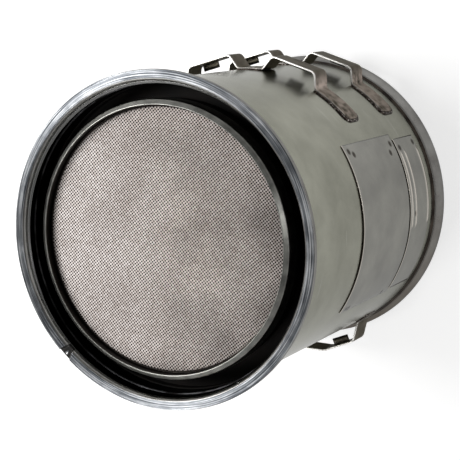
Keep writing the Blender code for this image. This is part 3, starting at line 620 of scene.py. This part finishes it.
def bent_plate(angles, heights, beads):
    """A plate's points, a row for each degree, and how strong the painted highlight is on each: its
    sides follow the shell.

    The stand-off is the bulge times sin(pi s), with s from 0 to 1 along the arc. A bead adds its
    height times exp(-((z - bead) / width)^2) between the two bead angles.
    """
    count = int(abs(angles[0] - angles[1])) + 1
    s = np.linspace(0.0, 1.0, count)[:, None]
    a = angles[0] + (angles[1] - angles[0]) * s
    low, high = heights
    rows = np.linspace(low + PLATE_BEVEL, high - PLATE_BEVEL, 112)
    z_out = np.concatenate([[low], rows, [high]])
    rise = np.zeros_like(z_out)
    for bead in beads:
        rise += MARKING_BEAD_HEIGHT * np.exp(-((z_out - bead) / MARKING_BEAD_WIDTH) ** 2)
    window = np.clip((BEAD_ANGLES[0] - a) / 1.5, 0, 1) * np.clip((a - BEAD_ANGLES[1]) / 1.5, 0, 1)
    stand = SHELL_RADIUS + 0.0001 + PLATE_BULGE * np.sin(np.pi * s)
    bevel = np.where((z_out == low) | (z_out == high), PLATE_BEVEL, 0.0)
    outer = stand + PLATE_SHEET + rise * window - bevel
    inner = stand + bevel[::-1] * 0.5 + 0.0 * rise
    r = np.concatenate([outer, inner], 1)
    z = np.concatenate([z_out, z_out[::-1]]) + 0.0 * r
    angle = np.radians(a) + 0.0 * r
    # Painted highlight on the beads and along the upper edges
    paleness = np.concatenate([rise * window / MARKING_BEAD_HEIGHT, 0.0 * inner], 1)
    paleness = np.maximum(paleness, 0.8 * (z > high - 0.0005))
    return np.stack([r * np.cos(angle), r * np.sin(angle), z], -1), paleness


def capped(points):
    """Faces of a closed section carried from the first row to the last, with both ends capped."""
    rows, columns = points.shape[:2]
    caps = [np.arange(columns)[::-1].tolist(), (np.arange(columns) + (rows - 1) * columns).tolist()]
    return net_faces(rows, columns, False).tolist() + caps


# Bright-rolled stainless: neutral grey and nearly a mirror, with faint smears and dark rings round
# the spot welds, each within 2.6 to 4.6 mm of its (angle, z), and a pale painted highlight on the
# marking plate's beads and on both upper edges
SPOT_WELDS = ((35.5, 0.215), (34.0, 0.206), (31.0, 0.114), (34.5, 0.105), (-27.0, 0.213),
              (-27.0, 0.206), (-27.0, 0.114), (32.0, 0.084), (33.0, 0.042), (5.0, 0.077))
SPOT_RADII = (0.0026, 0.0046)
bright, tree, shader, place = start_finish("bright_rolled_stainless", "8A8886", 0.16, 1.0)
shader["Specular Tint"].default_value = hex_colour("C8C8C8")
smears = add_node(tree, "ShaderNodeTexNoise", {"Vector": place, "Scale": 1 / 0.035, "Detail": 6.0})
sheet = add_node(tree, "ShaderNodeValToRGB", {"Fac": smears},
                 stops=((0.3, "8D8C87"), (0.7, "A1A099")))
nearest = 1.0
for angle, z in SPOT_WELDS:
    a = math.radians(angle)
    spot = (SHELL_RADIUS * math.cos(a), SHELL_RADIUS * math.sin(a), z)
    gap = add_node(tree, "ShaderNodeVectorMath", {0: place, 1: spot}, "Value",
                   operation="DISTANCE")
    nearest = add_node(tree, "ShaderNodeMath", {0: nearest, 1: gap}, operation="MINIMUM")
low, high = SPOT_RADII
off_spot = add_node(tree, "ShaderNodeMapRange", {0: nearest, 1: low, 2: high})
spotted = add_node(tree, "ShaderNodeMix", {0: off_spot, 6: "4A4640", 7: sheet}, data_type="RGBA")
# Painted highlight: pale where the beads and the upper edges would catch the light
paleness = add_node(tree, "ShaderNodeAttribute", {}, "Fac", attribute_name="paleness")
painted_highlight = add_node(tree, "ShaderNodeMix", {0: paleness, 6: spotted, 7: "CFC8BE"}, data_type="RGBA")
tree.links.new(painted_highlight, shader["Base Color"])
dull = add_node(tree, "ShaderNodeMapRange", {0: smears, 3: 0.1, 4: 0.24})
tree.links.new(dull, shader["Roughness"])
waves = add_node(tree, "ShaderNodeTexNoise", {"Vector": place, "Scale": 1 / 0.04, "Detail": 1.0})
bump = add_node(tree, "ShaderNodeBump", {"Height": waves, "Strength": 0.3, "Distance": 0.0015})
tree.links.new(bump, shader["Normal"])

for name, (angles, heights), beads, node in (
        ("cover_sheet", COVER, (), "cover_plate"),
        ("marking_sheet", MARKING, MARKING_BEADS, "marking_plate")):
    points, paleness = bent_plate(angles, heights, beads)
    piece = make_piece(name, points.reshape(-1, 3), capped(points), (bright,))
    mark_points(piece, "paleness", paleness)
    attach(piece, "root")
    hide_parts(node)

# Bracket straps and lower bracket. Steel strip 30 mm wide and 2 mm thick, bent into humps that
# stand off the shell, with a tongue turned down from each hump's rear edge. Their feet lie on
# the shell, have round tips and are brown from the welding.
ON_SHELL = 0.1587
STRIP = 0.002
HUMP_TOP = 0.1725
HUMP_HALF_TOP, HUMP_HALF_BASE = 0.0255, 0.032
BEND = 0.004
TIP_ROUND = 0.008
TIP_STEPS = TIP_ROUND * np.array([0.02, 0.08, 0.18, 0.3, 0.45, 0.62, 0.8])
UPPER_HUMPS = (111.7, 77.3)
LOWER_BENDS = ((-50.8, 0.0003), (-56.5, 0.0172), (-69.1, 0.0175), (-82.7, 0.0099),
               (-93.0, 0.0003))
LOWER_FEET = (-46.5, -104.0)
LOWER_TOP = -62.8
TAB_WIDTH, TAB_DROP, TAB_BEND, TAB_ROOT = 0.020, 0.0085, 0.0016, 0.006
UPPER_TAB_OFFSETS, LOWER_TAB_OFFSET = (0.013, 0.001), -0.008
HEAT_LIFT, EDGE_LIFT = 0.012, 0.006
BURNT_SHADE_ANGLE, BURNT_SHADE_HALF = 94.5, 6.5
BLOOM_LIFT, BLOOM_SPREAD, BLOOM_ANGLES = 0.007, 0.005, (0.0, 72.0)


def across_axis(angle):
    """Unit vectors away from the can's axis at an angle and a quarter turn on from it."""
    a = math.radians(angle)
    return np.array([math.cos(a), math.sin(a)]), np.array([-math.sin(a), math.cos(a)])


def on_arc(start, end):
    """Points on the shell from one angle to another, about 1.5 degrees apart."""
    a = np.radians(np.linspace(start, end, max(2, int(abs(end - start) / 1.5) + 1)))
    return ON_SHELL * np.column_stack([np.cos(a), np.sin(a)])


def hump(angle):
    """Root, two top corners and root of a hump's inner side, on both sides of its radius."""
    out, left = across_axis(angle)
    base = math.sqrt(ON_SHELL ** 2 - HUMP_HALF_BASE ** 2)
    return np.array([out * base + left * HUMP_HALF_BASE, out * HUMP_TOP + left * HUMP_HALF_TOP,
                     out * HUMP_TOP - left * HUMP_HALF_TOP, out * base - left * HUMP_HALF_BASE])


def bent_path(stretches):
    """One flat path through stretches of points, with each bend at a stretch's inner corner round.

    A stretch is (points, True) for bends and (points, False) for an arc. A bend C becomes the
    curve (1 - s)^2 F + 2 s (1 - s) C + s^2 L between points one bend radius before and after it.
    """
    points = np.concatenate([stretch for stretch, _ in stretches])
    bends = np.concatenate([np.full(len(stretch), BEND if bent else 0.0)
                            for stretch, bent in stretches])
    here = points[1:-1, None]
    s = np.linspace(0.0, 1.0, 7)[None, :, None]
    sides = [points[:-2, None] - here, points[2:, None] - here]
    lengths = [np.linalg.norm(side, axis=2, keepdims=True) for side in sides]
    first, last = [here + side / length * np.minimum(bends[1:-1, None, None], 0.45 * length)
                   for side, length in zip(sides, lengths)]
    curve = (1 - s) ** 2 * first + 2 * s * (1 - s) * here + s ** 2 * last
    path = np.concatenate([points[:1], curve.reshape(-1, 2), points[-1:]])
    apart = np.linalg.norm(np.diff(path, axis=0), axis=1) > 0.00005
    return path[np.concatenate([[True], apart])]


def strip_section(inner, half_width):
    """The strip's section from its inner face outwards, with round corners, as (out, across)."""
    corners = ((inner, -half_width), (inner + STRIP, -half_width),
               (inner + STRIP, half_width), (inner, half_width))
    return rounded_outline([(*corner, 0.0005) for corner in corners], steps=3).T


def strip_along(path, middle_z):
    """The strip's points: its section at each point of the path.

    The half width is 15 mm less the corner of a circle of the tip's radius, r - sqrt(r^2 - d^2),
    where the path is d inside that radius from its end.
    """
    length = np.linalg.norm(np.diff(path, axis=0), axis=1)
    run = np.concatenate([[0.0], np.cumsum(length)])
    fine = np.unique(np.concatenate([run, TIP_STEPS, run[-1] - TIP_STEPS]))
    path = np.column_stack([np.interp(fine, run, path[:, k]) for k in (0, 1)])
    step = np.diff(path, axis=0)
    step /= np.linalg.norm(step, axis=1, keepdims=True)
    before, after = np.vstack([step[:1], step]), np.vstack([step, step[-1:]])
    along = before + after
    along /= np.linalg.norm(along, axis=1, keepdims=True)
    outward = np.column_stack([along[:, 1], -along[:, 0]])
    outward *= np.sign((outward * path).sum(1))[:, None]
    mitre = 1.0 / (along * before).sum(1)
    into = np.clip(TIP_ROUND - np.minimum(fine, fine[-1] - fine), 0.0, TIP_ROUND)
    half = STRAP_HALF_WIDTH - (TIP_ROUND - np.sqrt(TIP_ROUND ** 2 - into ** 2))
    a, b = strip_section(0.0, STRAP_HALF_WIDTH)
    flat = path[:, None] + outward[:, None] * (a[None, :, None] * mitre[:, None, None])
    z = middle_z + b + np.sign(b) * (half[:, None] - STRAP_HALF_WIDTH)
    return np.concatenate([flat, z[..., None]], 2)


def tongue(angle, offset, inner_top, middle_z):
    """A tab's points: a strip that leaves the hump's underside and bends down at its rear edge."""
    out, left = across_axis(angle)
    turn = np.radians(np.linspace(0.0, 90.0, 7))
    mid = inner_top + 0.5 * STRIP
    rear = middle_z - STRAP_HALF_WIDTH + 0.5 * STRIP
    z = np.concatenate([[rear + TAB_ROOT], rear + TAB_BEND - TAB_BEND * np.sin(turn), [rear]])
    r = np.concatenate([[mid], mid - TAB_BEND + TAB_BEND * np.cos(turn),
                        [mid + 0.5 * STRIP - TAB_DROP]])
    step = np.gradient(np.column_stack([r, z]), axis=0)
    step /= np.linalg.norm(step, axis=1, keepdims=True)
    p, q = strip_section(-0.5 * STRIP, 0.5 * TAB_WIDTH)
    radial = r[:, None] - step[:, 1:] * p
    height = z[:, None] + step[:, :1] * p
    flat = radial[..., None] * out + (offset + q)[None, :, None] * left
    return np.concatenate([flat, height[..., None]], 2)


# Hot-rolled strip: brown-grey mill skin, half dull, with bright sheared edges. The heat attribute
# is 1 on the feet, which are browner with heat tint, and 2 between the humps, which are darker with
# heat tint and painted shade; "bloom" is 1 on the pale pink of the right legs
strip_steel, tree, shader, place = start_finish("hot_rolled_strip_steel", "77716A", 0.35, 1.0)
shader["Specular Tint"].default_value = hex_colour("B2B1AC")
clouds = add_node(tree, "ShaderNodeTexNoise", {"Vector": place, "Scale": 1 / 0.012, "Detail": 7.0,
                                               "Roughness": 0.65})
plain = add_node(tree, "ShaderNodeValToRGB", {"Fac": clouds},
                 stops=((0.3, "47433E"), (0.7, "736E67")))
heat, bloom, edge = [add_node(tree, "ShaderNodeAttribute", {}, "Fac", attribute_name=name)
                     for name in ("heat", "bloom", "edge")]
uneven = add_node(tree, "ShaderNodeMapRange", {0: clouds, 1: 0.3, 2: 0.7, 3: -0.15, 4: 0.15})
hot_and_shaded = add_node(tree, "ShaderNodeMath", {0: heat, 1: 0.5, 2: uneven}, operation="MULTIPLY_ADD")
tint = add_node(tree, "ShaderNodeValToRGB", {"Fac": hot_and_shaded},
                stops=((0.1, "FFFFFF"), (0.35, "D9CBBB"), (0.5, "B7A896"), (0.85, "64584E")))
tinted = add_node(tree, "ShaderNodeMix", {0: 1.0, 6: plain, 7: tint}, data_type="RGBA",
                  blend_type="MULTIPLY")
patchy = add_node(tree, "ShaderNodeMapRange", {0: clouds, 1: 0.35, 2: 0.55})
pink = add_node(tree, "ShaderNodeMath", {0: bloom, 1: patchy}, operation="MULTIPLY")
bloomed = add_node(tree, "ShaderNodeMix", {0: pink, 6: tinted, 7: "D4C4BA"}, data_type="RGBA")
sheared = add_node(tree, "ShaderNodeMix", {0: edge, 6: bloomed, 7: "D6D4D0"}, data_type="RGBA")
tree.links.new(sheared, shader["Base Color"])
dull = add_node(tree, "ShaderNodeMapRange", {0: clouds, 3: 0.25, 4: 0.5})
tree.links.new(dull, shader["Roughness"])
grit = add_node(tree, "ShaderNodeTexNoise", {"Vector": place, "Scale": 1 / 0.0012, "Detail": 4.0})
bump = add_node(tree, "ShaderNodeBump", {"Height": grit, "Strength": 0.25, "Distance": 0.0003})
tree.links.new(bump, shader["Normal"])


def bracket(name, node, path, tongues, middle_z):
    """A strip along the path with its tongues, as one piece with its marks along the way.

    Heat falls from 1 on the shell to 0 at its lift, and is doubled between the humps, where it also
    stands for painted shade. Bloom is exp(-((lift - bloom lift) / spread)^2) on the right legs, and
    edge is on the front edge.
    """
    strip = strip_along(path, middle_z)
    shells = [strip] + [tongue(*place, middle_z) for place in tongues]
    points = np.concatenate([shell.reshape(-1, 3) for shell in shells])
    starts = np.cumsum([0] + [shell[..., 0].size for shell in shells])
    faces = [[k + start for k in face] for shell, start in zip(shells, starts)
             for face in capped(shell)]
    piece = make_piece(name, points, faces, (strip_steel,))
    lift = np.hypot(strip[..., 0], strip[..., 1]) - ON_SHELL
    angle = np.degrees(np.arctan2(strip[..., 1], strip[..., 0]))
    # Between the humps the heat is doubled: heat tint from the middle weld together with painted
    # shade
    between = 1.0 + (abs(angle - BURNT_SHADE_ANGLE) < BURNT_SHADE_HALF)
    right = (angle > BLOOM_ANGLES[0]) & (angle < BLOOM_ANGLES[1])
    front = strip[..., 2] > middle_z + STRAP_HALF_WIDTH - 0.0006
    marks = {"heat": np.clip(1.0 - lift / HEAT_LIFT, 0.0, 1.0) * between,
             "bloom": np.exp(-((lift - BLOOM_LIFT) / BLOOM_SPREAD) ** 2) * right,
             "edge": front * np.clip(lift / EDGE_LIFT, 0.0, 1.0)}
    for mark, values in marks.items():
        whole = np.zeros(len(points))
        whole[:values.size] = values.ravel()
        mark_points(piece, mark, whole)
    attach(piece, "root")
    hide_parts(node)


humps = [hump(angle) for angle in UPPER_HUMPS]
root = [math.degrees(math.atan2(y, x)) for one in humps for x, y in (one[0], one[-1])]
upper_path = bent_path(((on_arc(FOOT_LEFT, root[0] + 3.0), False), (humps[0], True),
                        (on_arc(root[1] - 3.0, root[2] + 3.0), False), (humps[1], True),
                        (on_arc(root[3] - 3.0, FOOT_RIGHT), False)))
tongues = [(angle, offset, HUMP_TOP) for angle, offset in zip(UPPER_HUMPS, UPPER_TAB_OFFSETS)]
for end, middle_z in STRAP_HEIGHTS.items():
    bracket(end + "_strap_strip", end + "_bracket_strap", upper_path, tongues, middle_z)

lower = np.array([(SHELL_RADIUS + lift) * across_axis(angle)[0] for angle, lift in LOWER_BENDS])
lower_path = bent_path(((on_arc(LOWER_FEET[0], LOWER_BENDS[0][0] + 1.5), False), (lower, True),
                        (on_arc(LOWER_BENDS[-1][0] - 3.0, LOWER_FEET[1]), False)))
tongues = [(LOWER_TOP, LOWER_TAB_OFFSET, float(lower[1] @ across_axis(LOWER_TOP)[0]))]
bracket("lower_bracket_strip", "lower_bracket", lower_path, tongues, STRAP_HEIGHTS["outlet"])

# Weld beads. Short fillets laid round the feet, between the humps, behind the flanges and
# along the shell's seam. The rippled metal is covered by dark oxide, with bright flecks, but
# the seam is brushed clean and has the grey scale of the rings.
BEAD_WIDTH, BEAD_HEIGHT = 0.0038, 0.0018
SEAM_WIDTH, SEAM_HEIGHT = 0.005, 0.0015
SEAM_ANGLE, SEAM_ENDS = 200.0, [0.026, 0.342]
BEAD_OFFSET = 0.5 * BEAD_WIDTH - 0.0003
RIPPLE = 0.0020


def laid_bead(line, width, height):
    """A bead's points along a line of (arc length, z) on the shell, a section for every 0.5 mm.

    The section is half an ellipse, up = height sqrt(1 - q^2). Its ripples take off a seventh
    of |cos(pi (s + 0.4 width q^2) / ripple)|, and it tapers to nothing over 2 mm at each end.
    """
    run = np.concatenate([[0.0], np.cumsum(np.linalg.norm(np.diff(line, axis=0), axis=1))])
    s = np.linspace(0.0, run[-1], int(run[-1] / 0.0005) + 2)
    spot = np.column_stack([np.interp(s, run, line[:, k]) for k in (0, 1)])
    along = np.gradient(spot, axis=0)
    along /= np.linalg.norm(along, axis=1, keepdims=True)
    side = np.column_stack([-along[:, 1], along[:, 0]])
    turn = np.radians(np.linspace(0.0, 180.0, 11))
    q, dome = np.cos(turn), np.sin(turn)
    end = np.clip(np.minimum(s, s[-1] - s) / 0.002, 0.0, 1.0)
    taper = np.sqrt(1.0 - (1.0 - end) ** 2)[:, None] * 0.98 + 0.02
    ripple = 1.0 - abs(np.cos(np.pi * (s[:, None] + 0.4 * width * q ** 2) / RIPPLE)) / 7.0
    up = np.concatenate([height * dome * ripple * taper, np.full((len(s), 2), -0.0006)], 1)
    q = np.concatenate([0.5 * width * q * taper, 0.5 * width * taper * [-1, 1]], 1)
    u = spot[:, :1] + side[:, :1] * q
    z = spot[:, 1:] + side[:, 1:] * q
    r, a = SHELL_RADIUS + up, u / SHELL_RADIUS
    return np.stack([r * np.cos(a), r * np.sin(a), z], -1)


def foot_line(root_angle, tip_angle, middle_z):
    """The line of a bead along a foot's two sides and round its tip, half a bead outside it."""
    way = 1.0 if tip_angle > root_angle else -1.0
    root_u, tip_u = [math.radians(angle) * SHELL_RADIUS for angle in (root_angle, tip_angle)]
    turn = np.radians(np.linspace(90.0, 0.0, 9))
    near = np.column_stack([np.cos(turn), np.sin(turn)]) * (TIP_ROUND + BEAD_OFFSET)
    u = np.concatenate([[root_u], tip_u - way * TIP_ROUND + way * near[:, 0]])
    z = np.concatenate([[STRAP_HALF_WIDTH + BEAD_OFFSET],
                        STRAP_HALF_WIDTH - TIP_ROUND + near[:, 1]])
    u, z = np.concatenate([u, u[:0:-1]]), np.concatenate([z, -z[:0:-1]])
    return np.column_stack([u, middle_z + z])


# Weld metal under oxide: near black with a brown cast, rough, with flecks of bare bright metal
weld_metal, tree, shader, place = start_finish("oxidised_weld_metal", "332D2A", 0.45, 1.0)
flecks = add_node(tree, "ShaderNodeTexNoise", {"Vector": place, "Scale": 1 / 0.0025,
                                               "Detail": 3.0})
oxide = add_node(tree, "ShaderNodeValToRGB", {"Fac": flecks},
                 stops=((0.45, "2B2522"), (0.6, "50463F"), (0.68, "C9C4BE")))
tree.links.new(oxide, shader["Base Color"])
bump = add_node(tree, "ShaderNodeBump", {"Height": flecks, "Strength": 0.5, "Distance": 0.0006})
tree.links.new(bump, shader["Normal"])

beads = {}
valley = np.radians([root[2], root[1]]) * SHELL_RADIUS
for end, z in STRAP_HEIGHTS.items():
    beads[end + "_strap_weld_left"] = foot_line(root[0], FOOT_LEFT, z)
    beads[end + "_strap_weld_right"] = foot_line(root[3], FOOT_RIGHT, z)
    beside = z + STRAP_HALF_WIDTH + BEAD_OFFSET
    beads[end + "_strap_weld_middle"] = np.column_stack([valley, [beside, beside]])
for name, bend, foot in (("upper", LOWER_BENDS[0], LOWER_FEET[0]),
                         ("lower", LOWER_BENDS[-1], LOWER_FEET[1])):
    line = foot_line(bend[0], foot, STRAP_HEIGHTS["outlet"])
    beads["lower_bracket_weld_" + name] = line
seam = np.full(2, math.radians(SEAM_ANGLE) * SHELL_RADIUS)
beads["shell_seam_weld"] = np.column_stack([seam, SEAM_ENDS])
for node, line in beads.items():
    is_seam = node == "shell_seam_weld"
    size = (SEAM_WIDTH, SEAM_HEIGHT) if is_seam else (BEAD_WIDTH, BEAD_HEIGHT)
    points = laid_bead(line, *size)
    piece = make_piece(node + "_bead", points.reshape(-1, 3), capped(points),
                       (ring_steel if is_seam else weld_metal,))
    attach(piece, "root")
    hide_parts(node)


def refinish(nodes, finish):
    """Puts a finish on CAD nodes that show as they are."""
    for node in nodes:
        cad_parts[node].data.materials.clear()
        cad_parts[node].data.materials.append(finish)


# Flange welds: machine-laid and smooth, under an even brown-black oxide
scorched, tree, shader, place = start_finish("scorched_machine_weld", "35302C", 0.5, 1.0)
clouds = add_node(tree, "ShaderNodeTexNoise", {"Vector": place, "Scale": 1 / 0.02, "Detail": 5.0})
oxide = add_node(tree, "ShaderNodeValToRGB", {"Fac": clouds},
                 stops=((0.35, "26221F"), (0.7, "4B443D")))
tree.links.new(oxide, shader["Base Color"])
refinish(("inlet_flange_weld", "outlet_flange_weld"), scorched)

# Closing rings and inner can. Sheet rings that close the gap between the two walls, and the
# can round the block. Everything that the exhaust gas reaches is covered by soot.
soot_coat, tree, shader, place = start_finish("soot_on_steel", "0B0A0A", 0.7, 0.0)
shader["Specular IOR Level"].default_value = 0.15
clouds = add_node(tree, "ShaderNodeTexNoise", {"Vector": place, "Scale": 1 / 0.03, "Detail": 6.0})
soot = add_node(tree, "ShaderNodeValToRGB", {"Fac": clouds},
                stops=((0.35, "080706"), (0.75, "17110E")))
tree.links.new(soot, shader["Base Color"])
bump = add_node(tree, "ShaderNodeBump", {"Height": clouds, "Strength": 0.3, "Distance": 0.0005})
tree.links.new(bump, shader["Normal"])
refinish(("inlet_closing_ring", "outlet_closing_ring", "inner_can"), soot_coat)

# Support mat and insulation blanket. Felt of ceramic fibre, off-white, packed between block
# and can and between the two walls. The fibres are drawn 0.8 mm wide and 12 mm long.
fibre_felt, tree, shader, place = start_finish("ceramic_fibre_felt", "B4AEA0", 1.0, 0.0)
lengths = add_node(tree, "ShaderNodeMapping", {"Vector": place, "Scale": (1250.0, 1250.0, 80.0)})
fibres = add_node(tree, "ShaderNodeTexNoise", {"Vector": lengths, "Scale": 1.0, "Detail": 4.0})
felt = add_node(tree, "ShaderNodeValToRGB", {"Fac": fibres},
                stops=((0.3, "8D8677"), (0.7, "CFC9BC")))
tree.links.new(felt, shader["Base Color"])
bump = add_node(tree, "ShaderNodeBump", {"Height": fibres, "Strength": 0.5, "Distance": 0.0005})
tree.links.new(bump, shader["Normal"])
refinish(("support_mat", "insulation_blanket"), fibre_felt)

# Studio: a white floor, surroundings that are bright at the horizon and dim overhead, three
# soft lamps, and the camera. The floor shows white to the eye and in reflections, and keeps a
# soft shadow.
floor_mesh = bpy.data.meshes.new("floor")
floor_mesh.from_pydata([(-4, -4, 0), (4, -4, 0), (4, 4, 0), (-4, 4, 0)], [], [(0, 1, 2, 3)])
floor = bpy.data.objects.new("floor", floor_mesh)
bpy.context.scene.collection.objects.link(floor)
paper, tree, shader, _ = start_finish("white_paper", "C8C8C8", 0.9, 0.0)
rays = add_node(tree, "ShaderNodeLightPath", {}).node.outputs
seen = add_node(tree, "ShaderNodeMath", {0: rays["Is Camera Ray"], 1: rays["Is Glossy Ray"]},
                operation="MAXIMUM")
seen = add_node(tree, "ShaderNodeMath", {0: seen, 1: rays["Is Transmission Ray"]},
                operation="MAXIMUM")
glow = add_node(tree, "ShaderNodeMath", {0: rays["Is Camera Ray"], 1: 0.1, 2: 0.55},
                operation="MULTIPLY_ADD")
glow = add_node(tree, "ShaderNodeMath", {0: seen, 1: glow}, operation="MULTIPLY")
shader["Emission Color"].default_value = (1.0, 1.0, 1.0, 1.0)
tree.links.new(glow, shader["Emission Strength"])
floor_mesh.materials.append(paper)

world = bpy.data.worlds.new("studio")
world.use_nodes = True
bpy.context.scene.world = world
tree = world.node_tree
way = add_node(tree, "ShaderNodeTexCoord", {}, "Generated")
up = add_node(tree, "ShaderNodeSeparateXYZ", {0: way}, "Z")
level = add_node(tree, "ShaderNodeMapRange", {0: up, 1: 0.0, 2: 0.8, 3: 0.95, 4: 0.1})
tree.nodes["Background"].inputs["Color"].default_value = (1.0, 1.0, 1.0, 1.0)
tree.links.new(level, tree.nodes["Background"].inputs["Strength"])

# A large lamp on the left, a weaker one below it, and a small one on the right. Each is (name,
# way to it, side in metres, power in watts), and is turned to a point inside the can
LAMP_DISTANCE = 2.2
LAMP_AIM = [0.0, 0.0, 0.2]
LAMPS = (("lamp_left", (-0.60, 0.136, 0.782), 0.9, 32.0),
         ("lamp_low", (-0.376, -0.572, 0.723), 0.7, 12.0),
         ("lamp_front", (0.64, 0.17, 0.75), 0.35, 1.8))
for name, way, size, power in LAMPS:
    lamp = bpy.data.lights.new(name, "AREA")
    lamp.shape, lamp.size, lamp.energy = "SQUARE", size, power
    holder = bpy.data.objects.new(name, lamp)
    bpy.context.scene.collection.objects.link(holder)
    aim = np.array(way) / np.linalg.norm(way)
    holder.location = aim * LAMP_DISTANCE + LAMP_AIM
    across = np.cross([0.0, 0.0, 1.0], aim)
    across /= np.linalg.norm(across)
    turned = np.column_stack([across, np.cross(aim, across), aim])
    holder.rotation_euler = Matrix(turned.tolist()).to_euler()

# The camera looks down on the inlet from 1.5 m and is rolled to lay the can on its side
camera = bpy.data.objects.new("camera", bpy.data.cameras.new("camera"))
bpy.context.scene.collection.objects.link(camera)
camera.data.lens, camera.data.sensor_width = 118.26, 36.0
camera.data.clip_end = 20.0
camera.matrix_world = Matrix(((0.8828, -0.1626, 0.4407, 0.71625),
                                 (0.0769, 0.9755, 0.2059, 0.32338),
                                 (-0.4634, -0.1479, 0.8737, 1.63176), (0.0, 0.0, 0.0, 1.0)))
bpy.context.scene.camera = camera
bpy.context.scene.view_settings.view_transform = "Standard"
